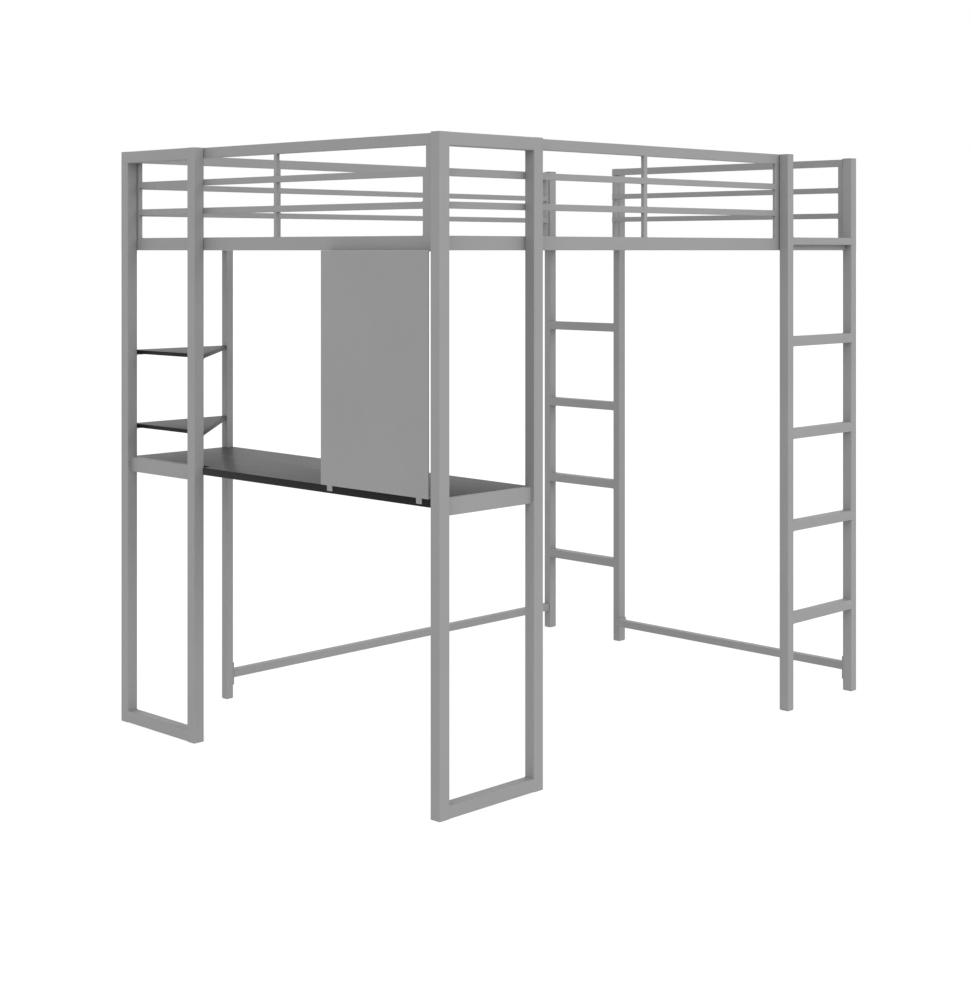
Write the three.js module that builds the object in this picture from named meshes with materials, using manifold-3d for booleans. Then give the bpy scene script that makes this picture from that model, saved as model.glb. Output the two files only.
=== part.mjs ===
// Steel loft bed with a desk, a privacy panel, two corner shelves and two ladders.
// Units are millimetres, +Z is up. Pieces are placed from the outer bottom corner at the desk's
// right end: X runs along the bed, Y across it. The whole bed is then centred over its footprint.

import * as THREE from 'three';
import { mergeVertices } from 'three/addons/utils/BufferGeometryUtils.js';
import Module from 'manifold-3d';

const wasm = await Module();
wasm.setup();

// Overall size
const LENGTH = 2015;
const WIDTH = 1497;
const HEIGHT = 1829;
const GAP = 0.3;
const GLIDE = 3;
const [X, Y, Z] = [0, 1, 2];

// Corner frames of square tube
const FRAME_WIDTH = 398;
const POST = 37;
const POST_RADIUS = 3;
const TUBE_RADIUS = 1.5;
const DESK_BAR_HEIGHT = 46;
const DESK_BAR_DEPTH = 20;
const RIGHT_DESK_BAR = { front: 12, bottom: 805 };
const LEFT_DESK_BAR = { front: 15, bottom: 803.5 };

// Rear leg, under the left side rail
const LEG = 27.7;
const LEG_X = 395.2;

// Bed base and guards
const BASE = 1513;
const GUARD_PLANE = POST + GAP;
const GUARD_DEPTH = 25;
const GUARD_INNER = GUARD_PLANE + GUARD_DEPTH;
const LEFT_GUARD_INNER = WIDTH - GUARD_DEPTH;
const GUARD_BAR = 12.7;
const SEAM = 0.2;
const NEAR_LEVELS = { rail: [1513, 1552.5], low: [1625.5, 1644.5], high: [1713, 1732], top: [1797.5, 1829] };
const LEFT_LEVELS = { rail: [1513, 1552], low: [1622.5, 1641], high: [1709.5, 1728.5], top: [1795, 1825] };
const LADDER_END_LEVELS = { rail: [1513, 1552], low: [1622.5, 1641], high: [1710.5, 1729.5], top: [1802.5, 1827] };
const LADDER_GUARD_X = 1953.5;
const LADDER_GUARD_END = 1112;
const GUARD_PLATE = 3;

// Ladders
const LADDER_DEPTH = 36;
const LADDER_POST = 31;
const SIDE_LADDER = { from: 1563.5, to: 1962, rail: [24, 35.8] };
const END_LADDER = { from: 1098, to: 1497, rail: [9, 32] };
const RUNG_HEIGHT = 32;
const RUNG_BOTTOMS = [283, 588, 891.5, 1196.5];
const TREAD = [1531.4, 1555.5];
const CAP = 3;

// Slats, the beam under them and the ledges that carry them
const SLAT_COUNT = 11;
const FIRST_SLAT = 150;
const SLAT_PITCH = 175;
const SLAT = { width: 35, height: 12 };
const LEDGE = { top: 1533.5, thickness: 3, width: 20, inset: 116 };
const BEAM_WIDTH = 25;
const BEAM_HEIGHT = 20;

// Desk and shelves
const DESK_TOP = 849;
const DESK_THICKNESS = 22;
const DESK_FRONT = 5.5;
const DESK_BACK = { right: 387, left: 426 };
const DESK_RIGHT = 37.5;
const DESK_NOTCH = 1062;
const BOARD_LEFT = 1488;
const SHELF_THICKNESS = 12;
const SHELF_TOPS = { lower: 955, upper: 1192 };

// Support tabs under the boards
const TAB = { thickness: 3, width: 30, reach: 30 };
const RIGHT_TABS = [105, 305];
const LEFT_TABS = [1195, 1405];
const SHELF_TAB = { width: 20, reach: 26, nearReach: 12 };

// Privacy panel
const SHEET = 2.5;
const PANEL = { front: 2.7, from: 46.8, to: 495, clipBottom: 834 };
const PANEL_CLIPS = [[74, 95.5], [446, 467.5]];

// Stabilizer bars near the floor
const SIDE_STABILIZER = { bottom: 68.5, height: 27, plate: [45, 120] };
const END_STABILIZER = { bottom: 63.5, height: 26, plate: [38, 115] };
const PLATE = 3.5;

// Bolts
const BOLT_RADIUS = 3;
const BOLT_HEAD = 6;
const BOLT_HEAD_HEIGHT = 3.5;
const HOLE_RADIUS = 3.3;
const BITE = 11;
const RAIL_BOLT_Z = 1521.5;
const TOP_BOLT_Z = 1811.5;
const BRACKET = { leg: 50, thickness: 3, z: [1516, 1551], boltZ: 1543.5, boltAt: 30 };

// Finishes
const STEEL = { color: 0x929292, roughness: 0.55, metalness: 0.3 };
const BOARD = { color: 0x2c2c2d, roughness: 0.5, metalness: 0 };
const PLASTIC = { color: 0x8c8c8c, roughness: 0.6, metalness: 0 };
const ZINC = { color: 0xa9abad, roughness: 0.35, metalness: 0.9 };

const bed = new THREE.Group();
bed.position.set(-LENGTH / 2, -WIDTH / 2, 0);

// A closed geometry as a manifold solid.
function solid(geometry) {
  const bare = geometry.clone();
  bare.deleteAttribute('normal');
  bare.deleteAttribute('uv');
  const merged = mergeVertices(bare, 1e-3);
  const corners = merged.index.array;
  const kept = [];
  for (let i = 0; i < corners.length; i += 3) {
    const [a, b, c] = [corners[i], corners[i + 1], corners[i + 2]];
    if (a !== b && b !== c && c !== a) kept.push(a, b, c);
  }
  return new wasm.Manifold(new wasm.Mesh({
    numProp: 3,
    vertProperties: merged.attributes.position.array,
    triVerts: new Uint32Array(kept),
  }));
}

// Adds a solid to the bed as a named sub-part.
function addPart(name, shape, finish) {
  const { vertProperties, triVerts } = shape.getMesh();
  const geometry = new THREE.BufferGeometry();
  geometry.setAttribute('position', new THREE.BufferAttribute(vertProperties, 3));
  geometry.setIndex(new THREE.BufferAttribute(triVerts, 1));
  geometry.computeVertexNormals();
  const mesh = new THREE.Mesh(geometry, new THREE.MeshStandardMaterial(finish));
  mesh.name = name;
  bed.add(mesh);
}

// Joins overlapping solids into one.
function weld(solids) {
  return solids.reduce((joined, next) => joined.add(next));
}

// Two-digit number for the names of repeated pieces.
function number(index) {
  return String(index + 1).padStart(2, '0');
}

// A straight bar between two opposite corners, with its four long edges rounded.
function bar(low, high, along, radius = TUBE_RADIUS) {
  const across = (along + 1) % 3;
  const up = (along + 2) % 3;
  const width = high[across] - low[across];
  const height = high[up] - low[up];
  const outline = new THREE.Shape();
  outline.absarc(width - radius, radius, radius, -Math.PI / 2, 0);
  outline.absarc(width - radius, height - radius, radius, 0, Math.PI / 2);
  outline.absarc(radius, height - radius, radius, Math.PI / 2, Math.PI);
  outline.absarc(radius, radius, radius, Math.PI, 1.5 * Math.PI);
  const depth = high[along] - low[along];
  const geometry = new THREE.ExtrudeGeometry(outline, { depth, bevelEnabled: false, curveSegments: 1 });
  const directions = [new THREE.Vector3(1, 0, 0), new THREE.Vector3(0, 1, 0), new THREE.Vector3(0, 0, 1)];
  geometry.applyMatrix4(new THREE.Matrix4().makeBasis(directions[across], directions[up], directions[along]));
  geometry.translate(...low);
  return solid(geometry);
}

// A flat plate between two opposite corners.
function plate(low, high) {
  const size = high.map((value, axis) => value - low[axis]);
  const geometry = new THREE.BoxGeometry(...size);
  geometry.translate(...low.map((value, axis) => value + size[axis] / 2));
  return solid(geometry);
}

// A board cut to an outline in plan.
function board(outline, bottom, thickness) {
  const shape = new THREE.Shape(outline.map(([x, y]) => new THREE.Vector2(x, y)));
  const geometry = new THREE.ExtrudeGeometry(shape, { depth: thickness, bevelEnabled: false });
  geometry.translate(0, 0, bottom);
  return solid(geometry);
}

// Turns a geometry built upwards from the origin along +Y to a start point and direction.
function aim(geometry, start, direction) {
  const turn = new THREE.Quaternion().setFromUnitVectors(new THREE.Vector3(0, 1, 0), direction);
  geometry.applyQuaternion(turn);
  geometry.translate(...start);
  return geometry;
}

const bolts = [];

// Notes a bolt whose head bears on the start point, and returns the bore it needs.
function boltBore(start, direction, length) {
  bolts.push({ start, direction, length });
  const depth = length + GAP;
  const bore = new THREE.CylinderGeometry(HOLE_RADIUS, HOLE_RADIUS, depth + 1, 12);
  bore.translate(0, depth / 2 - 0.5, 0);
  return solid(aim(bore, start, direction));
}

// A solid with bores cut out of it.
function bored(shape, cuts) {
  return cuts.reduce((rest, cut) => rest.subtract(cut), shape);
}

// A button head bolt with a plain shank.
function boltSolid({ start, direction, length }) {
  const profile = [
    [0, -GAP - BOLT_HEAD_HEIGHT],
    [BOLT_HEAD * 0.7, -GAP - BOLT_HEAD_HEIGHT],
    [BOLT_HEAD, -GAP - BOLT_HEAD_HEIGHT * 0.4],
    [BOLT_HEAD, -GAP],
    [BOLT_RADIUS, -GAP],
    [BOLT_RADIUS, length],
    [0, length],
  ].map(([radius, height]) => new THREE.Vector2(radius, height));
  return solid(aim(new THREE.LatheGeometry(profile, 12), start, direction));
}

// Maps (along, across, up) to a point, for pieces that exist along X and along Y.
function placer(along) {
  return (run, across, up) => (along === X ? [run, across, up] : [across, run, up]);
}

// A corner frame: two full-height posts, a top bar, a floor bar, the desk bar and its support tabs.
function deskFrame(along, from, deskBar, tabs) {
  const at = placer(along);
  const to = from + FRAME_WIDTH;
  const [inner, outer] = [from + POST / 2, to - POST / 2];
  const barBack = deskBar.front + DESK_BAR_DEPTH;
  const tabTop = DESK_TOP - DESK_THICKNESS - GAP;
  return weld([
    bar(at(from, 0, 0), at(from + POST, POST, HEIGHT), Z, POST_RADIUS),
    bar(at(to - POST, 0, 0), at(to, POST, HEIGHT), Z, POST_RADIUS),
    bar(at(inner, 0, 0), at(outer, POST, POST), along, POST_RADIUS),
    bar(at(inner, 0, HEIGHT - POST), at(outer, POST, HEIGHT), along, POST_RADIUS),
    bar(at(inner, deskBar.front, deskBar.bottom), at(outer, barBack, deskBar.bottom + DESK_BAR_HEIGHT), along),
    ...tabs.map((middle) => plate(
      at(middle - TAB.width / 2, barBack - 1, tabTop - TAB.thickness),
      at(middle + TAB.width / 2, barBack + TAB.reach, tabTop),
    )),
  ]);
}

// Tabs that carry the shelves, from a low corner, one under each shelf.
function shelfTabs(low, high) {
  return Object.values(SHELF_TOPS).map((top) => {
    const tabTop = top - SHELF_THICKNESS - GAP;
    return plate([...low, tabTop - TAB.thickness], [...high, tabTop]);
  });
}

// A ladder: two posts, four rungs, a top tread and the rail set back under it.
function ladder(along, outerFace, { from, to, rail }) {
  const at = placer(along);
  const face = outerFace + LADDER_DEPTH;
  const [inner, outer] = [from + LADDER_POST / 2, to - LADDER_POST / 2];
  const top = HEIGHT - CAP - GAP;
  return weld([
    bar(at(from, outerFace, GLIDE), at(from + LADDER_POST, face, top), Z, POST_RADIUS),
    bar(at(to - LADDER_POST, outerFace, GLIDE), at(to, face, top), Z, POST_RADIUS),
    ...RUNG_BOTTOMS.map((z) => bar(at(inner, outerFace, z), at(outer, face, z + RUNG_HEIGHT), along, 2)),
    bar(at(inner, outerFace, TREAD[0]), at(outer, face, TREAD[1]), along, 2),
    bar(at(inner, outerFace + rail[0], BASE), at(outer, outerFace + rail[1], TREAD[0] + 3), along),
  ]);
}

// A guard: a deep rail and top bar with two thin bars and uprights between them.
function guard(along, [from, to], face, levels, uprights) {
  const at = placer(along);
  const run = ([bottom, top], depth) => bar(at(from, face, bottom), at(to, face + depth, top), along);
  return weld([
    run(levels.rail, GUARD_DEPTH),
    run(levels.low, GUARD_BAR),
    run(levels.high, GUARD_BAR),
    run(levels.top, GUARD_DEPTH),
    ...uprights.map(([start, end, { top = levels.top[0] + 5, depth = GUARD_BAR } = {}]) => bar(
      at(start, face + SEAM, levels.rail[1] - 5),
      at(end, face + depth - SEAM, top),
      Z,
    )),
  ]);
}

// A ledge that carries the slats along X.
function slatLedge(from, to, low, high) {
  return plate([from, low, LEDGE.top - LEDGE.thickness], [to, high, LEDGE.top]);
}

// An angle bracket in a corner at (x, y), with its legs pointing along the given signs.
function cornerBracket(x, y, signX, signY) {
  const leg = (lengthX, lengthY) => {
    const [x0, x1] = [x, x + signX * lengthX].sort((a, b) => a - b);
    const [y0, y1] = [y, y + signY * lengthY].sort((a, b) => a - b);
    return plate([x0, y0, BRACKET.z[0]], [x1, y1, BRACKET.z[1]]);
  };
  return weld([leg(BRACKET.leg, BRACKET.thickness), leg(BRACKET.thickness, BRACKET.leg)]);
}

// A thin pad or cap with a rounded outline.
function pad(x, y, width, depth, bottom, thickness) {
  return bar([x, y, bottom], [x + width, y + depth, bottom + thickness], Z, POST_RADIUS);
}

const toRight = new THREE.Vector3(0, -1, 0);
const toLeft = new THREE.Vector3(0, 1, 0);
const toDeskEnd = new THREE.Vector3(-1, 0, 0);
const toLadderEnd = new THREE.Vector3(1, 0, 0);
const upward = new THREE.Vector3(0, 0, 1);

// Bores, each through the first piece and into the second
const tabBottom = DESK_TOP - DESK_THICKNESS - GAP - TAB.thickness;
const throughRail = GUARD_DEPTH + GAP + BITE;
const throughBracket = BRACKET.thickness + GAP + BITE;
const rightTabReach = RIGHT_DESK_BAR.front + DESK_BAR_DEPTH + TAB.reach * 0.6;
const leftTabReach = LEFT_DESK_BAR.front + DESK_BAR_DEPTH + TAB.reach * 0.6;
const throughTab = TAB.thickness + GAP + BITE;
const bores = {
  rightPost: boltBore([FRAME_WIDTH - POST / 2, GUARD_INNER, RAIL_BOLT_Z], toRight, throughRail),
  rightTop: boltBore([FRAME_WIDTH / 2, GUARD_INNER, TOP_BOLT_Z], toRight, throughRail),
  leftPost: boltBore([GUARD_INNER, END_LADDER.to - FRAME_WIDTH + POST / 2, RAIL_BOLT_Z], toDeskEnd, throughRail),
  leftTop: boltBore([GUARD_INNER, WIDTH - FRAME_WIDTH / 2, TOP_BOLT_Z], toDeskEnd, throughRail),
  sideLadder: boltBore([SIDE_LADDER.from + LADDER_POST / 2, GUARD_INNER, RAIL_BOLT_Z], toRight, throughRail + 1),
  ladderPlate: boltBore([1942, LADDER_DEPTH + GAP + GUARD_PLATE, RAIL_BOLT_Z], toRight, throughBracket),
  endLadder: boltBore([LADDER_GUARD_X, LADDER_GUARD_END - 7, RAIL_BOLT_Z], toLadderEnd, throughRail + 1),
  sideStabilizer: boltBore(
    [LEG_X + LEG + GAP + PLATE, WIDTH - LEG / 2, SIDE_STABILIZER.plate[1] - 12],
    toDeskEnd,
    PLATE + GAP + BITE,
  ),
  endStabilizer: boltBore(
    [SIDE_LADDER.to - LADDER_POST / 2, LADDER_DEPTH + GAP + PLATE, END_STABILIZER.plate[1] - 12],
    toRight,
    PLATE + GAP + BITE,
  ),
};
const deskBores = [
  ...RIGHT_TABS.map((x) => boltBore([x, rightTabReach, tabBottom], upward, throughTab)),
  ...LEFT_TABS.map((y) => boltBore([leftTabReach, y, tabBottom], upward, throughTab)),
];

// Corner brackets inside the guards, each with a bore along both legs
const nearX = GUARD_INNER + GAP;
const farX = LENGTH - LADDER_DEPTH - GAP;
const leftY = LEFT_GUARD_INNER - GAP;
const bracketPlaces = [
  { x: nearX, y: nearX, signX: 1, signY: 1, end: toDeskEnd, side: toRight },
  { x: nearX, y: leftY, signX: 1, signY: -1, end: toDeskEnd, side: toLeft },
  { x: farX, y: leftY, signX: -1, signY: -1, end: toLadderEnd, side: toLeft },
].map((place) => {
  const { x, y, signX, signY, end, side } = place;
  const { thickness, boltAt, boltZ } = BRACKET;
  return {
    ...place,
    endBore: boltBore([x + signX * thickness, y + signY * boltAt, boltZ], end, throughBracket),
    sideBore: boltBore([x + signX * boltAt, y + signY * thickness, boltZ], side, throughBracket),
  };
});
const [nearRight, nearLeft, farLeft] = bracketPlaces;

// Corner frames
const rightFrame = deskFrame(X, 0, RIGHT_DESK_BAR, RIGHT_TABS);
addPart('right_desk_frame', bored(rightFrame, [bores.rightPost, bores.rightTop, ...deskBores]), STEEL);
const leftFrame = weld([
  deskFrame(Y, WIDTH - FRAME_WIDTH, LEFT_DESK_BAR, LEFT_TABS),
  ...shelfTabs(
    [POST - 1, WIDTH - FRAME_WIDTH + 16],
    [POST + SHELF_TAB.nearReach, WIDTH - FRAME_WIDTH + 16 + SHELF_TAB.width],
  ),
  ...shelfTabs([POST - 1, WIDTH - POST + 2], [POST + SHELF_TAB.reach, BOARD_LEFT - 2]),
]);
addPart('left_desk_frame', bored(leftFrame, [bores.leftPost, bores.leftTop, ...deskBores]), STEEL);

// Rear leg with its own tabs for the desk and shelves
const legY = WIDTH - LEG;
const deskTabTop = DESK_TOP - DESK_THICKNESS - GAP;
const rearLeg = weld([
  bar([LEG_X, legY, GLIDE], [LEG_X + LEG, WIDTH, BASE - GAP], Z, 2.5),
  plate([LEG_X + 4, legY - TAB.reach, deskTabTop - TAB.thickness], [LEG_X + LEG - 4, legY + 1, deskTabTop]),
  ...shelfTabs([LEG_X - SHELF_TAB.reach, legY + 3], [LEG_X + 1, BOARD_LEFT - 2]),
]);
addPart('rear_leg', bored(rearLeg, [bores.sideStabilizer]), STEEL);

// Ladders
const sideLadder = weld([
  ladder(X, 0, SIDE_LADDER),
  slatLedge(
    SIDE_LADDER.from + LADDER_POST,
    SIDE_LADDER.to - LADDER_POST - GAP,
    LADDER_DEPTH / 2,
    GUARD_INNER + LEDGE.width,
  ),
]);
addPart('side_ladder', bored(sideLadder, [bores.sideLadder, bores.ladderPlate, bores.endStabilizer]), STEEL);
const endLadder = ladder(Y, LENGTH - LADDER_DEPTH, END_LADDER);
addPart('end_ladder', bored(endLadder, [bores.endLadder, farLeft.endBore]), STEEL);

// Guards
const deskEndGuard = guard(Y, [GUARD_INNER + GAP, LEFT_GUARD_INNER - GAP], GUARD_PLANE, NEAR_LEVELS, [
  [66.7, 95],
  [80, 107.7, { top: NEAR_LEVELS.high[0] + 5 }],
  [741.5, 755],
  [1449.8, 1463.3],
]);
addPart('desk_end_guard', bored(deskEndGuard, [
  bores.leftPost,
  bores.leftTop,
  nearRight.endBore,
  nearLeft.endBore,
]), STEEL);

const rightGuardEnd = SIDE_LADDER.from + LADDER_POST - GAP;
const rightGuard = weld([
  guard(X, [GUARD_PLANE, rightGuardEnd], GUARD_PLANE, NEAR_LEVELS, [
    [49.8, 62.5],
    [878, 894],
    [1545, 1575],
  ]),
  slatLedge(LEDGE.inset, rightGuardEnd - 1, GUARD_INNER - 1, GUARD_INNER + LEDGE.width),
]);
addPart('right_side_guard', bored(rightGuard, [
  bores.rightPost,
  bores.rightTop,
  bores.sideLadder,
  nearRight.sideBore,
]), STEEL);

const leftGuard = weld([
  guard(X, [GUARD_PLANE, farX], LEFT_GUARD_INNER, LEFT_LEVELS, [
    [GUARD_PLANE + SEAM, 62.5],
    [614.5, 627.2],
    [1306, 1318.7],
    [1966, farX - SEAM, { depth: GUARD_DEPTH }],
  ]),
  slatLedge(LEDGE.inset, farX - BRACKET.leg - GAP, LEFT_GUARD_INNER - LEDGE.width, LEFT_GUARD_INNER + 1),
]);
addPart('left_side_guard', bored(leftGuard, [nearLeft.sideBore, farLeft.sideBore]), STEEL);

const plateFace = LADDER_DEPTH + GAP;
const ladderGuard = weld([
  guard(Y, [plateFace, LADDER_GUARD_END], LADDER_GUARD_X, LADDER_END_LEVELS, [
    [plateFace + SEAM, 70.7, { depth: GUARD_DEPTH }],
    [LADDER_GUARD_END - GUARD_BAR, LADDER_GUARD_END - SEAM, { depth: GUARD_DEPTH }],
  ]),
  ...[LADDER_END_LEVELS.rail, LADDER_END_LEVELS.top].map(([bottom, top]) => plate(
    [SIDE_LADDER.to - LADDER_POST, plateFace, bottom],
    [LADDER_GUARD_X + GUARD_DEPTH, plateFace + GUARD_PLATE, top],
  )),
]);
addPart('ladder_end_guard', bored(ladderGuard, [bores.endLadder, bores.ladderPlate]), STEEL);

// Stabilizer bars, each bolted on by a plate; the end bar also has a tab on the end ladder's post
const sideBarFrom = LEG_X + LEG + GAP;
const sideStabilizer = weld([
  bar([sideBarFrom, 1471, SIDE_STABILIZER.bottom], [farX, 1496, SIDE_STABILIZER.bottom + SIDE_STABILIZER.height], X),
  plate([sideBarFrom, 1470, SIDE_STABILIZER.plate[0]], [sideBarFrom + PLATE, WIDTH, SIDE_STABILIZER.plate[1]]),
]);
addPart('side_stabilizer_bar', bored(sideStabilizer, [bores.sideStabilizer]), STEEL);
const endBarTo = END_LADDER.from - GAP;
const endBarTop = END_STABILIZER.bottom + END_STABILIZER.height;
const endStabilizer = weld([
  bar([1953, plateFace, END_STABILIZER.bottom], [1978, endBarTo, endBarTop], Y),
  plate([1932, plateFace, END_STABILIZER.plate[0]], [1978, plateFace + PLATE, END_STABILIZER.plate[1]]),
  plate([1953 + SEAM, endBarTo - PLATE, END_STABILIZER.bottom + SEAM], [LENGTH, endBarTo, endBarTop - SEAM]),
]);
addPart('end_stabilizer_bar', bored(endStabilizer, [bores.endStabilizer]), STEEL);

// Desk top, notched round the left frame and the rear leg
const legNotch = [LEG_X - GAP, legY - GAP];
const desk = board([
  [DESK_FRONT, DESK_RIGHT],
  [DESK_BACK.right, DESK_RIGHT],
  [DESK_BACK.left, legNotch[1]],
  legNotch,
  [legNotch[0], BOARD_LEFT],
  [GUARD_PLANE, BOARD_LEFT],
  [GUARD_PLANE, DESK_NOTCH],
  [DESK_FRONT, DESK_NOTCH],
], DESK_TOP - DESK_THICKNESS, DESK_THICKNESS);
addPart('desk_top', bored(desk, deskBores), BOARD);

// Triangular corner shelves between the left frame and the rear leg
for (const [place, top] of Object.entries(SHELF_TOPS)) {
  const outline = [
    [GUARD_PLANE, WIDTH - FRAME_WIDTH],
    [legNotch[0], legY],
    [legNotch[0], BOARD_LEFT],
    [GUARD_PLANE, BOARD_LEFT],
  ];
  addPart(`${place}_corner_shelf`, board(outline, top - SHELF_THICKNESS, SHELF_THICKNESS), BOARD);
}

// Privacy panel: a sheet with a flange under the rail, one on the desk and two clips over its edge
const { front, from: panelFrom, to: panelTo, clipBottom } = PANEL;
const panelTop = BASE - GAP;
addPart('privacy_panel', weld([
  plate([front, panelFrom, DESK_TOP + GAP], [front + SHEET, panelTo, panelTop]),
  plate([front, panelFrom, panelTop - SHEET], [GUARD_INNER - 2, panelTo, panelTop]),
  plate([front, panelFrom, DESK_TOP + GAP], [28, panelTo, DESK_TOP + GAP + SHEET]),
  ...PANEL_CLIPS.map(([from, to]) => plate([front, from, clipBottom], [front + SHEET, to, DESK_TOP + 2])),
]), STEEL);

// Beam and slats
const beamTop = LEDGE.top;
const beamY = (WIDTH - BEAM_WIDTH) / 2;
addPart('center_support_beam', bar(
  [GUARD_INNER + GAP, beamY, beamTop - BEAM_HEIGHT],
  [LADDER_GUARD_X - GAP, beamY + BEAM_WIDTH, beamTop],
  X,
), STEEL);
for (let i = 0; i < SLAT_COUNT; i += 1) {
  const x = FIRST_SLAT + i * SLAT_PITCH - SLAT.width / 2;
  const bottom = LEDGE.top + GAP;
  addPart(`slat_${number(i)}`, bar(
    [x, GUARD_INNER + GAP, bottom],
    [x + SLAT.width, LEFT_GUARD_INNER - GAP, bottom + SLAT.height],
    Y,
  ), STEEL);
}

// Brackets
const bracketNames = ['near_right_bracket', 'near_left_bracket', 'far_left_bracket'];
bracketPlaces.forEach(({ x, y, signX, signY, endBore, sideBore }, i) => {
  const shape = bored(cornerBracket(x, y, signX, signY), [endBore, sideBore]);
  addPart(bracketNames[i], shape, STEEL);
});

// Foot glides under the rear leg and the ladders, and the caps of the ladder posts
const inset = 1;
const glideThickness = GLIDE - GAP;
const ladderPosts = [
  [SIDE_LADDER.from, 0, LADDER_POST, LADDER_DEPTH],
  [SIDE_LADDER.to - LADDER_POST, 0, LADDER_POST, LADDER_DEPTH],
  [LENGTH - LADDER_DEPTH, END_LADDER.from, LADDER_DEPTH, LADDER_POST],
  [LENGTH - LADDER_DEPTH, END_LADDER.to - LADDER_POST, LADDER_DEPTH, LADDER_POST],
];
[[LEG_X, legY, LEG, LEG], ...ladderPosts].forEach(([x, y, width, depth], i) => {
  const shape = pad(x + inset, y + inset, width - 2 * inset, depth - 2 * inset, 0, glideThickness);
  addPart(`foot_glide_${number(i)}`, shape, PLASTIC);
});
ladderPosts.forEach(([x, y, width, depth], i) => {
  addPart(`ladder_cap_${number(i)}`, pad(x, y, width, depth, HEIGHT - CAP, CAP), STEEL);
});

// Bolts
bolts.forEach((bolt, i) => addPart(`bolt_${number(i)}`, boltSolid(bolt), ZINC));

export default bed;
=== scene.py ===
"""Looks of a steel loft bed with a desk.

Powder-coated tube with weld beads, black laminate boards, a sheet panel and studio light.
"""

import math
import random

import bmesh
import bpy
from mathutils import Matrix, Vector


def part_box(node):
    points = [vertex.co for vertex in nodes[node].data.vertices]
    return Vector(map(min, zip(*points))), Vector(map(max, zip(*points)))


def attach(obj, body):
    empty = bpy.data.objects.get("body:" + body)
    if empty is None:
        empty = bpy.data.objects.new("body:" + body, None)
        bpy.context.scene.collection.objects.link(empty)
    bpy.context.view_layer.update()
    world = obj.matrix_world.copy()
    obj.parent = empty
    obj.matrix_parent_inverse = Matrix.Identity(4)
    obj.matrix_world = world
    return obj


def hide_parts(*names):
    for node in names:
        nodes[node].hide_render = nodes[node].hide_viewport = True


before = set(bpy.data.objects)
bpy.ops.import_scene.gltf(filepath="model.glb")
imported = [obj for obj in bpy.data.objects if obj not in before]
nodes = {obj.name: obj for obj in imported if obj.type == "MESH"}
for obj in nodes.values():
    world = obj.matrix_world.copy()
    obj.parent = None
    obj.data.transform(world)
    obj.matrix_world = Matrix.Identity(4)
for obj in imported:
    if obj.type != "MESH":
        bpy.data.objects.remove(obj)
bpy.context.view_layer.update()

MM = 0.001
X, Y, Z = 0, 1, 2

# Camera: level, standing off the bed's near corner, with a shifted lens
CAMERA_PLACE = (-4.2502, -4.2085, 1.5130)
CAMERA_HEADING = 0.7569
CAMERA_LENS = 64.44
CAMERA_SHIFT = (-0.06335, -0.2497)
SENSOR = 36.0

# Studio: a white backdrop, an even sky and three broad lights
SKY_STRENGTH = 0.95
FLOOR_GLOW = 0.85
FLOOR_TONE = 0.15
FLOOR_SIZE = 4000.0
LIGHTS = {
    "right_light": {"toward": (0.15, -1.0, 0.45), "strength": 1.3, "angle": 40.0},
    "desk_light": {"toward": (-1.0, -0.4, 0.45), "strength": 0.9, "angle": 30.0},
    "top_light": {"toward": (0.0, 0.0, 1.0), "strength": 1.0, "angle": 100.0},
}

# Shading of the CAD steel
MERGE_DISTANCE = 0.00002
SHARP_ANGLE = 50
NORMAL_WEIGHT = 80

# Reading the CAD shapes: how near points count as one, and how flat faces count as one face
NEAR = 1e-5
FLAT_ANGLE = 0.5
CORNER_ANGLE = 40

# Weld beads in the inside corners of the steelwork
BEAD = 1.3 * MM
BEAD_PITCH = 2.2 * MM
BEAD_SIDES = 8
BEAD_RIPPLE = 0.12
BEAD_JITTER = 0.05
BEAD_LIFT = 0.3
BEAD_SEED = 7
SHORTEST_JOINT = 8 * MM

# Bolts
BOLT_HEAD = 6 * MM
BOLT_HEAD_HEIGHT = 3.5 * MM
BOLT_SOCKET = 3.6 * MM
BOLT_SOCKET_DEPTH = 2.0 * MM
BOLT_SHANK = 3 * MM
BOLT_SIDES = 36

# Boards
BOARDS = ["desk_top", "lower_corner_shelf", "upper_corner_shelf"]
BOARD_ROUND = 0.9 * MM
SHELF_ROUND = 0.7 * MM
SHORTEST_RIM = 7 * MM

# Glides and ladder caps: how far each level stands out in mm, and its share of the height
BLOCK_CORNER = 3
GLIDE_PROFILE = [(-1.4, 0.0), (-0.5, 0.12), (0.0, 0.4), (0.0, 0.62), (-0.35, 0.86), (-0.9, 1.0)]
CAP_PROFILE = [(-0.5, 0.0), (0.0, 0.14), (0.0, 0.66), (-0.3, 0.85), (-1.0, 1.0)]

# Folded clips on the slat ends, with a rivet in each: rivet radius and lift in mm
CLIP_LENGTH = 26 * MM
CLIP_SHEET = 1.0 * MM
CLIP_INSET = 0.4 * MM
CLIP_FOOT = 1.0 * MM
CLIP_CORNER = 0.6
CLIP_CLEARANCE = 0.1
RIVET_SIDES = 20
RIVET_PROFILE = [(3.2, -0.6), (3.2, 0.2), (2.9, 0.7), (2.2, 1.15), (1.1, 1.4)]


# ---------------------------------------------------------------- meshes

def add_piece(name, mesh, materials, replaced=()):
    """Links a mesh as a piece that rides on the bed."""
    piece = bpy.data.objects.new(name, mesh)
    for material in materials:
        mesh.materials.append(material)
    bpy.context.scene.collection.objects.link(piece)
    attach(piece, "root")
    if replaced:
        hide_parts(*replaced)
    return piece


def mesh_of(bm, name):
    bmesh.ops.recalc_face_normals(bm, faces=bm.faces)
    mesh = bpy.data.meshes.new(name)
    bm.to_mesh(mesh)
    bm.free()
    return mesh


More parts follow.
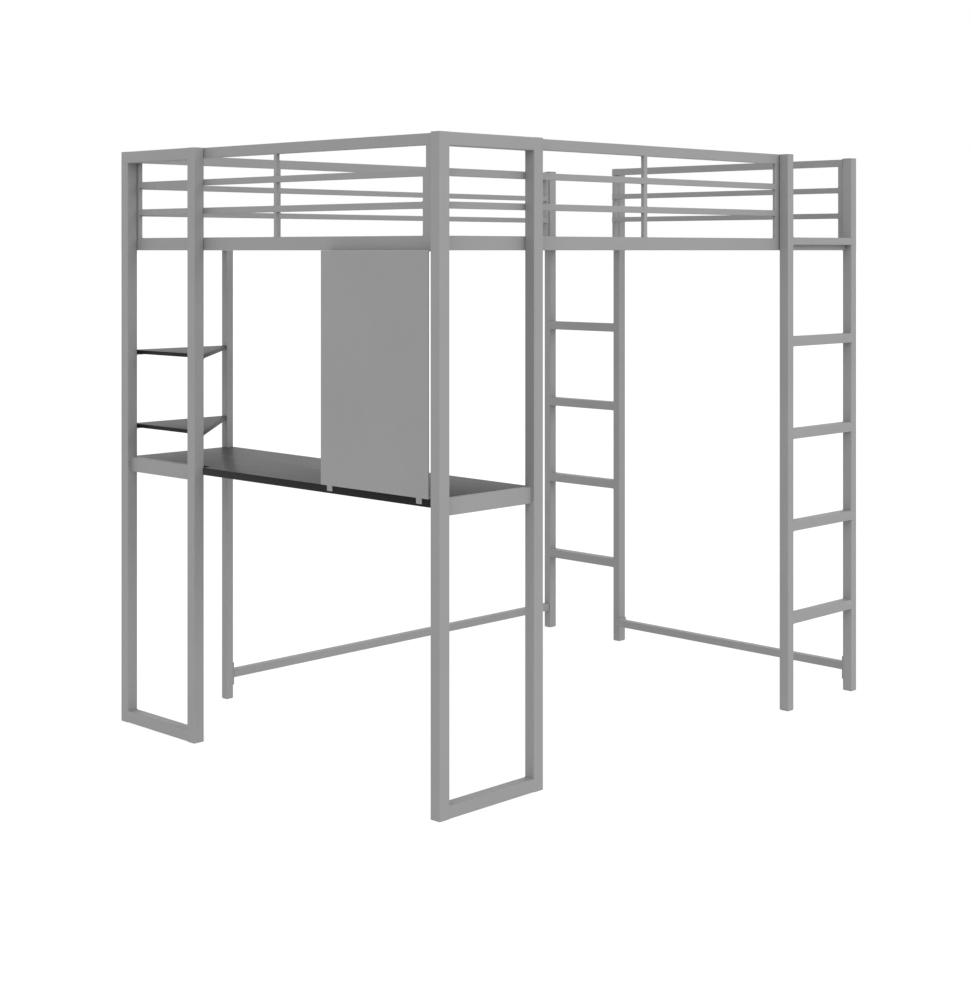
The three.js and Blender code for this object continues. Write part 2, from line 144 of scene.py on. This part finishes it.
def smooth(mesh, degrees=40.0):
    """Shades a mesh smooth, keeping edges above an angle sharp."""
    mesh.shade_smooth()
    mesh.set_sharp_from_angle(angle=math.radians(degrees))


def loft(bm, rings):
    """Skins closed rings of equally many points, with flat caps."""
    made = [[bm.verts.new(point) for point in ring] for ring in rings]
    count = len(made[0])
    for lower, upper in zip(made, made[1:]):
        for i in range(count):
            j = (i + 1) % count
            bm.faces.new((lower[i], lower[j], upper[j], upper[i]))
    bm.faces.new(list(reversed(made[0])))
    bm.faces.new(made[-1])


def rounded_rectangle(width, depth, radius, steps=4):
    """Points round a rectangle centred on the origin, with round corners."""
    points = []
    corners = ((1, -1, -90), (1, 1, 0), (-1, 1, 90), (-1, -1, 180))
    for sign_x, sign_y, start in corners:
        centre = (sign_x * (width / 2 - radius), sign_y * (depth / 2 - radius))
        for step in range(steps + 1):
            angle = math.radians(start + 90 * step / steps)
            points.append((centre[0] + radius * math.cos(angle), centre[1] + radius * math.sin(angle)))
    return points


# ---------------------------------------------------------------- materials

class Shader:
    """A material's node tree with short calls to add and join nodes."""

    def __init__(self, name):
        self.material = bpy.data.materials.new(name)
        self.material.use_nodes = True
        self.tree = self.material.node_tree
        self.surface = self.tree.nodes["Principled BSDF"]
        self.place = self.add("ShaderNodeTexCoord").outputs["Object"]

    def add(self, kind, **settings):
        node = self.tree.nodes.new(kind)
        for key, value in settings.items():
            setattr(node, key, value)
        return node

    def join(self, source, target):
        self.tree.links.new(source, target)

    def stretched(self, scale):
        mapping = self.add("ShaderNodeMapping")
        mapping.inputs["Scale"].default_value = scale
        self.join(self.place, mapping.inputs["Vector"])
        return mapping.outputs["Vector"]

    def noise(self, scale, detail=2.0, roughness=0.5, vector=None):
        node = self.add("ShaderNodeTexNoise")
        node.inputs["Scale"].default_value = scale
        node.inputs["Detail"].default_value = detail
        node.inputs["Roughness"].default_value = roughness
        self.join(vector or self.place, node.inputs["Vector"])
        return node.outputs["Fac"]

    def span(self, value, low, high, start=0.3, end=0.7):
        node = self.add("ShaderNodeMapRange")
        node.inputs["From Min"].default_value = start
        node.inputs["From Max"].default_value = end
        node.inputs["To Min"].default_value = low
        node.inputs["To Max"].default_value = high
        self.join(value, node.inputs["Value"])
        return node.outputs["Result"]

    def ramp(self, value, *stops):
        node = self.add("ShaderNodeValToRGB")
        elements = node.color_ramp.elements
        while len(elements) < len(stops):
            elements.new(0.5)
        for element, (position, colour) in zip(elements, stops):
            element.position = position
            element.color = (*colour, 1.0)
        self.join(value, node.inputs["Fac"])
        return node.outputs["Color"]

    def mix(self, factor, first, second):
        node = self.add("ShaderNodeMix", data_type="RGBA")
        self.join(factor, node.inputs["Factor"])
        self.join(first, node.inputs["A"])
        self.join(second, node.inputs["B"])
        return node.outputs["Result"]

    def bump(self, *layers):
        """Adds bump layers, each a height and its depth in metres."""
        normal = None
        for height, depth in layers:
            node = self.add("ShaderNodeBump")
            node.inputs["Distance"].default_value = depth
            self.join(height, node.inputs["Height"])
            if normal:
                self.join(normal, node.inputs["Normal"])
            normal = node.outputs["Normal"]
        self.join(normal, self.surface.inputs["Normal"])

    def set(self, **values):
        for key, value in values.items():
            self.surface.inputs[key.replace("_", " ")].default_value = value


def powder_coat(name, grey, roughness):
    """Satin powder coat: an orange-peel skin, faint cloudiness in its colour and gloss."""
    shader = Shader(name)
    cloud = shader.noise(5.0, detail=3.0)
    grain = shader.noise(900.0, detail=2.0, roughness=0.6)
    base = shader.ramp(cloud, (0.3, (grey * 0.965,) * 3), (0.7, (grey * 1.035,) * 3))
    speck = shader.ramp(grain, (0.3, (grey * 0.88,) * 3), (0.7, (grey * 1.12,) * 3))
    share = shader.span(shader.noise(40.0, detail=1.0), 0.25, 0.6)
    shader.join(shader.mix(share, base, speck), shader.surface.inputs["Base Color"])
    gloss = shader.noise(60.0, detail=4.0)
    shader.join(shader.span(gloss, roughness - 0.05, roughness + 0.06), shader.surface.inputs["Roughness"])
    peel = shader.noise(380.0, detail=1.5)
    fine = shader.noise(1500.0, detail=1.0)
    shader.bump((peel, 0.00016), (fine, 0.00004))
    shader.set(IOR=1.5)
    return shader.material


def laminate(name, dark, light, grain_axis, roughness, coat):
    """Black melamine board: a fine pressed grain along one axis, with small gloss changes."""
    shader = Shader(name)
    scale = [160.0, 160.0, 160.0]
    scale[grain_axis] = 5.0
    fibre = shader.noise(1.0, detail=5.0, roughness=0.62, vector=shader.stretched(scale))
    scale[grain_axis] = 1.2
    streak = shader.noise(0.16, detail=3.0, vector=shader.stretched(scale))
    wood = shader.ramp(fibre, (0.35, (dark,) * 3), (0.62, (light,) * 3))
    band = shader.ramp(streak, (0.35, (dark * 1.1,) * 3), (0.65, (light * 0.95,) * 3))
    share = shader.span(shader.noise(2.0), 0.35, 0.6)
    shader.join(shader.mix(share, wood, band), shader.surface.inputs["Base Color"])
    shader.join(shader.span(fibre, roughness - 0.03, roughness + 0.06), shader.surface.inputs["Roughness"])
    shader.bump((fibre, 0.00005), (shader.noise(700.0), 0.00002))
    shader.set(IOR=1.35, Coat_Weight=coat, Coat_Roughness=0.2, Coat_IOR=1.4)
    return shader.material


def edge_band(name, grey):
    """Plastic edging of a board: black, with faint scuffs."""
    shader = Shader(name)
    scuff = shader.noise(220.0, detail=4.0, roughness=0.7)
    colour = shader.ramp(scuff, (0.35, (grey * 0.8,) * 3), (0.7, (grey * 1.3,) * 3))
    shader.join(colour, shader.surface.inputs["Base Color"])
    shader.join(shader.span(shader.noise(90.0, detail=3.0), 0.38, 0.5), shader.surface.inputs["Roughness"])
    shader.bump((scuff, 0.00003))
    shader.set(IOR=1.25)
    return shader.material


def moulded_plastic(name, grey):
    shader = Shader(name)
    mottle = shader.noise(50.0, detail=3.0)
    shader.join(shader.ramp(mottle, (0.3, (grey * 0.92,) * 3), (0.7, (grey * 1.06,) * 3)),
                shader.surface.inputs["Base Color"])
    shader.join(shader.span(shader.noise(300.0), 0.5, 0.62), shader.surface.inputs["Roughness"])
    shader.bump((shader.noise(1200.0, detail=2.0), 0.00005))
    return shader.material


def zinc_plate(name):
    shader = Shader(name)
    bloom = shader.noise(420.0, detail=3.0)
    colour = shader.ramp(bloom, (0.3, (0.50, 0.51, 0.52)), (0.7, (0.64, 0.64, 0.63)))
    shader.join(colour, shader.surface.inputs["Base Color"])
    shader.join(shader.span(shader.noise(700.0, detail=2.0), 0.26, 0.42), shader.surface.inputs["Roughness"])
    shader.bump((shader.noise(1600.0), 0.00002))
    shader.set(Metallic=1.0)
    return shader.material


steel = powder_coat("silver_powder_coat", 0.193, 0.5)
bead_steel = powder_coat("powder_coated_weld", 0.18, 0.5)
desk_face = laminate("desk_laminate", 0.020, 0.028, Y, 0.55, 0.16)
shelf_face = laminate("shelf_laminate", 0.018, 0.026, Y, 0.58, 0.14)
board_edge = edge_band("board_edging", 0.003)
glide_plastic = moulded_plastic("glide_plastic", 0.24)
zinc = zinc_plate("zinc_plate")


# ---------------------------------------------------------------- CAD steel

def edge_shading():
    """A modifier group that joins the CAD faces and shades them smooth below an angle."""
    tree = bpy.data.node_groups.new("edge_shading", "GeometryNodeTree")
    tree.interface.new_socket("Geometry", in_out="INPUT", socket_type="NodeSocketGeometry")
    tree.interface.new_socket("Geometry", in_out="OUTPUT", socket_type="NodeSocketGeometry")
    start = tree.nodes.new("NodeGroupInput")
    merge = tree.nodes.new("GeometryNodeMergeByDistance")
    merge.inputs["Distance"].default_value = MERGE_DISTANCE
    faces = tree.nodes.new("GeometryNodeSetShadeSmooth")
    faces.domain = "FACE"
    edges = tree.nodes.new("GeometryNodeSetShadeSmooth")
    edges.domain = "EDGE"
    edges.inputs["Shade Smooth"].default_value = False
    angle = tree.nodes.new("GeometryNodeInputMeshEdgeAngle")
    steep = tree.nodes.new("FunctionNodeCompare")
    steep.operation = "GREATER_THAN"
    steep.inputs["B"].default_value = math.radians(SHARP_ANGLE)
    end = tree.nodes.new("NodeGroupOutput")
    tree.links.new(start.outputs[0], merge.inputs["Geometry"])
    tree.links.new(merge.outputs["Geometry"], faces.inputs["Geometry"])
    tree.links.new(faces.outputs["Geometry"], edges.inputs["Geometry"])
    tree.links.new(angle.outputs["Unsigned Angle"], steep.inputs["A"])
    tree.links.new(steep.outputs["Result"], edges.inputs["Selection"])
    tree.links.new(edges.outputs["Geometry"], end.inputs[0])
    return tree


shading = edge_shading()
for node in nodes.values():
    node.data.materials.clear()
    node.data.materials.append(steel)
    modifier = node.modifiers.new("edges", "NODES")
    modifier.node_group = shading
    weighted = node.modifiers.new("normals", "WEIGHTED_NORMAL")
    weighted.keep_sharp = True
    weighted.weight = NORMAL_WEIGHT


def steel_nodes():
    """Names of the welded steel pieces, which are neither boards, bolts nor glides."""
    plain = ("bolt_", "foot_glide_", "ladder_cap_")
    return sorted(name for name in nodes if name not in BOARDS and not name.startswith(plain))


def clean_copy(name):
    """A CAD node's shape with its flat faces joined into whole faces."""
    bm = bmesh.new()
    bm.from_mesh(nodes[name].data)
    bmesh.ops.remove_doubles(bm, verts=bm.verts, dist=NEAR)
    bmesh.ops.dissolve_limit(bm, angle_limit=math.radians(FLAT_ANGLE), verts=bm.verts, edges=bm.edges)
    return bm


# ---------------------------------------------------------------- weld beads

def inside_corners(bm):
    """Chains of edges where two faces of a node meet in an inside corner."""
    corners = {}
    for edge in bm.edges:
        if len(edge.link_faces) != 2 or edge.is_convex:
            continue
        if edge.calc_face_angle() < math.radians(CORNER_ANGLE):
            continue
        for vert in edge.verts:
            corners.setdefault(vert, []).append(edge)
    left = {edge for edges in corners.values() for edge in edges}
    order = sorted(left, key=lambda edge: edge.index)
    chains = []
    for seed in order:
        if seed not in left:
            continue
        left.discard(seed)
        chain = [seed.verts[0], seed.verts[1]]
        for grow_end in (True, False):
            while True:
                tip = chain[-1] if grow_end else chain[0]
                follow = [edge for edge in corners[tip] if edge in left]
                if len(corners[tip]) != 2 or not follow:
                    break
                left.discard(follow[0])
                after = follow[0].other_vert(tip)
                if grow_end:
                    chain.append(after)
                else:
                    chain.insert(0, after)
        chains.append(chain)
    return chains


def bead_path(chain, outward):
    """Points along a chain at the bead's pitch, each with its outward direction."""
    path = []
    for first, second in zip(chain, chain[1:]):
        length = (second.co - first.co).length
        steps = max(1, round(length / BEAD_PITCH))
        way = outward[frozenset((first, second))]
        for step in range(steps):
            share = (step + 0.5) / steps
            path.append((first.co.lerp(second.co, share), way))
    return path


def add_bead(bm, path, closed, dice):
    """Sweeps a rippled bead along a path."""
    count = len(path)
    rings = []
    for i, (point, way) in enumerate(path):
        before = path[i - 1][0] if i or closed else point
        after = path[(i + 1) % count][0] if i < count - 1 or closed else point
        along = (after - before).normalized()
        side = along.cross(way).normalized()
        up = side.cross(along).normalized()
        radius = BEAD * (1 + BEAD_RIPPLE * (-1) ** i + dice.uniform(-BEAD_JITTER, BEAD_JITTER))
        middle = point + up * BEAD * BEAD_LIFT
        ring = []
        for k in range(BEAD_SIDES):
            angle = 2 * math.pi * k / BEAD_SIDES
            ring.append(bm.verts.new(middle + radius * (math.cos(angle) * up + math.sin(angle) * side)))
        rings.append(ring)
    pairs = list(zip(rings, rings[1:]))
    if closed:
        pairs.append((rings[-1], rings[0]))
    for lower, upper in pairs:
        for k in range(BEAD_SIDES):
            j = (k + 1) % BEAD_SIDES
            bm.faces.new((lower[k], lower[j], upper[j], upper[k]))
    if not closed:
        bm.faces.new(list(reversed(rings[0])))
        bm.faces.new(rings[-1])


def add_weld_beads():
    dice = random.Random(BEAD_SEED)
    for name in steel_nodes():
        source = clean_copy(name)
        outward = {}
        for edge in source.edges:
            if len(edge.link_faces) == 2:
                way = edge.link_faces[0].normal + edge.link_faces[1].normal
                outward[frozenset(edge.verts)] = way.normalized()
        beads = bmesh.new()
        for chain in inside_corners(source):
            longest = max((b.co - a.co).length for a, b in zip(chain, chain[1:]))
            if longest < SHORTEST_JOINT:
                continue
            closed = chain[0] is chain[-1]
            path = bead_path(chain, outward)
            if not closed:
                start = (chain[0].co, path[0][1])
                end = (chain[-1].co, path[-1][1])
                path = [start] + path + [end]
            if len(path) > 2:
                add_bead(beads, path, closed, dice)
        source.free()
        if not beads.verts:
            beads.free()
            continue
        mesh = mesh_of(beads, f"{name}_welds")
        smooth(mesh, 60)
        add_piece(f"{name}_welds", mesh, [bead_steel])


# ---------------------------------------------------------------- boards

def add_boards():
    """Laminate boards with eased edges and plastic edging."""
    for name in BOARDS:
        bm = clean_copy(name)
        rounding = BOARD_ROUND if name == "desk_top" else SHELF_ROUND
        rims = []
        for edge in bm.edges:
            normals = sorted(abs(face.normal.z) for face in edge.link_faces)
            if edge.is_convex and normals[0] < 0.1 and edge.calc_length() > SHORTEST_RIM:
                rims.append(edge)
        bmesh.ops.bevel(
            bm, geom=rims, offset=rounding, segments=3, profile=0.5, affect="EDGES", clamp_overlap=True,
        )
        bm.normal_update()
        for face in bm.faces:
            face.material_index = 0 if abs(face.normal.z) > 0.9 else 1
        mesh = mesh_of(bm, f"{name}_board")
        smooth(mesh, 35)
        facing = desk_face if name == "desk_top" else shelf_face
        add_piece(f"{name}_board", mesh, [facing, board_edge], replaced=[name])


# ---------------------------------------------------------------- bolts

def hexagon(radius, angle):
    """The distance from the centre of a hexagon to its outline."""
    turn = (angle + math.pi / 6) % (math.pi / 3) - math.pi / 6
    return radius * math.cos(math.pi / 6) / math.cos(turn)


def add_bolts():
    """Button heads with a hexagon socket, in place of the plain bolts."""
    for name in sorted(name for name in nodes if name.startswith("bolt_")):
        low, high = (Vector(corner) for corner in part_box(name))
        size = high - low
        axis = max(range(3), key=lambda i: size[i])
        middle = (low + high) / 2
        points = [vert.co for vert in nodes[name].data.vertices]
        wide = []
        for point in points:
            arm = point - middle
            arm[axis] = 0
            if arm.length > BOLT_SHANK * 1.3:
                wide.append(point[axis])
        at_high = sum(wide) / len(wide) > middle[axis]
        outward = Vector([0, 0, 0])
        outward[axis] = 1 if at_high else -1
        top = middle.copy()
        top[axis] = high[axis] if at_high else low[axis]
        across = outward.orthogonal().normalized()
        other = outward.cross(across)
        length = size[axis]
        head = BOLT_HEAD_HEIGHT
        profile = [
            (BOLT_SHANK * 0.7, length, 0),
            (BOLT_SHANK, length - BOLT_SHANK * 0.3, 0),
            (BOLT_SHANK, head, 0),
            (BOLT_HEAD * 0.97, head, 0),
            (BOLT_HEAD, head * 0.92, 0),
            (BOLT_HEAD, head * 0.72, 0),
            (BOLT_HEAD * 0.93, head * 0.42, 0),
            (BOLT_HEAD * 0.82, head * 0.18, 0),
            (BOLT_HEAD * 0.7, head * 0.03, 0),
            (BOLT_SOCKET * 1.09, 0, 0),
            (BOLT_SOCKET * 1.05, 0, 1),
            (BOLT_SOCKET, BOLT_SOCKET_DEPTH * 0.1, 1),
            (BOLT_SOCKET, BOLT_SOCKET_DEPTH, 1),
        ]
        rings = []
        for radius, depth, is_hexagon in profile:
            ring = []
            for k in range(BOLT_SIDES):
                angle = 2 * math.pi * k / BOLT_SIDES
                reach = hexagon(radius, angle) if is_hexagon else radius
                arm = math.cos(angle) * across + math.sin(angle) * other
                ring.append(top + arm * reach - outward * depth)
            rings.append(ring)
        bm = bmesh.new()
        loft(bm, rings)
        mesh = mesh_of(bm, f"{name}_button_head")
        smooth(mesh, 40)
        add_piece(f"{name}_button_head", mesh, [zinc], replaced=[name])


# ---------------------------------------------------------------- glides and caps

def add_blocks(prefix, suffix, profile, material):
    """Rounded blocks with a shaped side, in place of the plain ones whose names start alike."""
    for name in sorted(name for name in nodes if name.startswith(prefix)):
        low, high = (Vector(corner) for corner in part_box(name))
        size = high - low
        middle = (low + high) / 2
        rings = []
        for grow, share in profile:
            width = size.x + 2 * grow * MM
            depth = size.y + 2 * grow * MM
            outline = rounded_rectangle(width, depth, BLOCK_CORNER * MM + grow * MM)
            level = low.z + share * size.z
            rings.append([Vector((middle.x + x, middle.y + y, level)) for x, y in outline])
        bm = bmesh.new()
        loft(bm, rings)
        mesh = mesh_of(bm, f"{name}_{suffix}")
        smooth(mesh, 40)
        add_piece(f"{name}_{suffix}", mesh, [material], replaced=[name])


# ---------------------------------------------------------------- slat ends

def add_slat_clips():
    """Folded clips over the slat ends, each with a rivet."""
    clips = bmesh.new()
    rivets = bmesh.new()
    for name in sorted(name for name in nodes if name.startswith("slat_")):
        low, high = (Vector(corner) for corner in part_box(name))
        for at_start in (True, False):
            inner = low.y + CLIP_INSET if at_start else high.y - CLIP_INSET
            outer = low.y + CLIP_LENGTH if at_start else high.y - CLIP_LENGTH
            rings = []
            for y in (inner, outer):
                wide = high.x - low.x + 2 * CLIP_SHEET
                rise = high.z + CLIP_SHEET
                left = low.x - CLIP_SHEET
                foot = low.z + CLIP_FOOT
                rings.append([
                    Vector((left, y, foot)),
                    Vector((left, y, rise - CLIP_SHEET * CLIP_CORNER)),
                    Vector((left + CLIP_SHEET * CLIP_CORNER, y, rise)),
                    Vector((left + wide - CLIP_SHEET * CLIP_CORNER, y, rise)),
                    Vector((left + wide, y, rise - CLIP_SHEET * CLIP_CORNER)),
                    Vector((left + wide, y, foot)),
                    Vector((high.x + CLIP_SHEET * CLIP_CLEARANCE, y, foot)),
                    Vector((high.x + CLIP_SHEET * CLIP_CLEARANCE, y, high.z + CLIP_SHEET * CLIP_CLEARANCE)),
                    Vector((low.x - CLIP_SHEET * CLIP_CLEARANCE, y, high.z + CLIP_SHEET * CLIP_CLEARANCE)),
                    Vector((low.x - CLIP_SHEET * CLIP_CLEARANCE, y, foot)),
                ])
            loft(clips, rings)
            centre = Vector(((low.x + high.x) / 2, (inner + outer) / 2, high.z + CLIP_SHEET))
            rings = []
            for radius, lift in RIVET_PROFILE:
                ring = []
                for k in range(RIVET_SIDES):
                    angle = 2 * math.pi * k / RIVET_SIDES
                    arm = Vector((math.cos(angle), math.sin(angle), 0)) * radius * MM
                    ring.append(centre + arm + Vector((0, 0, lift * MM)))
                rings.append(ring)
            loft(rivets, rings)
    mesh = mesh_of(clips, "slat_end_clips")
    smooth(mesh, 30)
    add_piece("slat_end_clips", mesh, [steel])
    mesh = mesh_of(rivets, "slat_end_rivets")
    smooth(mesh, 50)
    add_piece("slat_end_rivets", mesh, [zinc])


add_weld_beads()
add_boards()
add_bolts()
add_blocks("foot_glide_", "moulding", GLIDE_PROFILE, glide_plastic)
add_blocks("ladder_cap_", "lid", CAP_PROFILE, steel)
add_slat_clips()


# ---------------------------------------------------------------- floor, light, camera

def add_floor():
    mesh = bpy.data.meshes.new("floor")
    half = FLOOR_SIZE / 2
    corners = [(-half, -half, 0), (half, -half, 0), (half, half, 0), (-half, half, 0)]
    mesh.from_pydata(corners, [], [(0, 1, 2, 3)])
    floor = bpy.data.objects.new("floor", mesh)
    shader = Shader("pale_floor")
    tone = shader.ramp(shader.noise(0.7), (0.3, (FLOOR_TONE * 0.99,) * 3), (0.7, (FLOOR_TONE * 1.01,) * 3))
    shader.join(tone, shader.surface.inputs["Base Color"])
    shader.set(Roughness=1.0, Emission_Color=(1, 1, 1, 1), Emission_Strength=FLOOR_GLOW)
    shader.surface.inputs["Specular IOR Level"].default_value = 0.0
    mesh.materials.append(shader.material)
    bpy.context.scene.collection.objects.link(floor)


def add_light(name, toward, strength, angle):
    data = bpy.data.lights.new(name, "SUN")
    data.energy = strength
    data.angle = math.radians(angle)
    light = bpy.data.objects.new(name, data)
    light.rotation_euler = Vector(toward).to_track_quat("Z", "Y").to_euler()
    bpy.context.scene.collection.objects.link(light)


def add_sky():
    """A backdrop that is white in view, and lights the bed a little less."""
    world = bpy.data.worlds.new("studio")
    world.use_nodes = True
    tree = world.node_tree
    sky = tree.nodes["Background"]
    sky.inputs["Color"].default_value = (1, 1, 1, 1)
    sky.inputs["Strength"].default_value = SKY_STRENGTH
    backdrop = tree.nodes.new("ShaderNodeBackground")
    backdrop.inputs["Color"].default_value = (1, 1, 1, 1)
    path = tree.nodes.new("ShaderNodeLightPath")
    mix = tree.nodes.new("ShaderNodeMixShader")
    tree.links.new(path.outputs["Is Camera Ray"], mix.inputs["Fac"])
    tree.links.new(sky.outputs["Background"], mix.inputs[1])
    tree.links.new(backdrop.outputs["Background"], mix.inputs[2])
    tree.links.new(mix.outputs["Shader"], tree.nodes["World Output"].inputs["Surface"])
    bpy.context.scene.world = world


def add_camera():
    data = bpy.data.cameras.new("camera")
    data.lens = CAMERA_LENS
    data.sensor_width = SENSOR
    data.sensor_fit = "AUTO"
    data.shift_x, data.shift_y = CAMERA_SHIFT
    data.clip_end = 5000.0
    camera = bpy.data.objects.new("camera", data)
    camera.location = CAMERA_PLACE
    camera.rotation_euler = (math.pi / 2, 0.0, CAMERA_HEADING - math.pi / 2)
    bpy.context.scene.collection.objects.link(camera)
    bpy.context.scene.camera = camera


add_floor()
add_sky()
for light_name, settings in LIGHTS.items():
    add_light(light_name, **settings)
add_camera()
bpy.context.scene.view_settings.view_transform = "Standard"
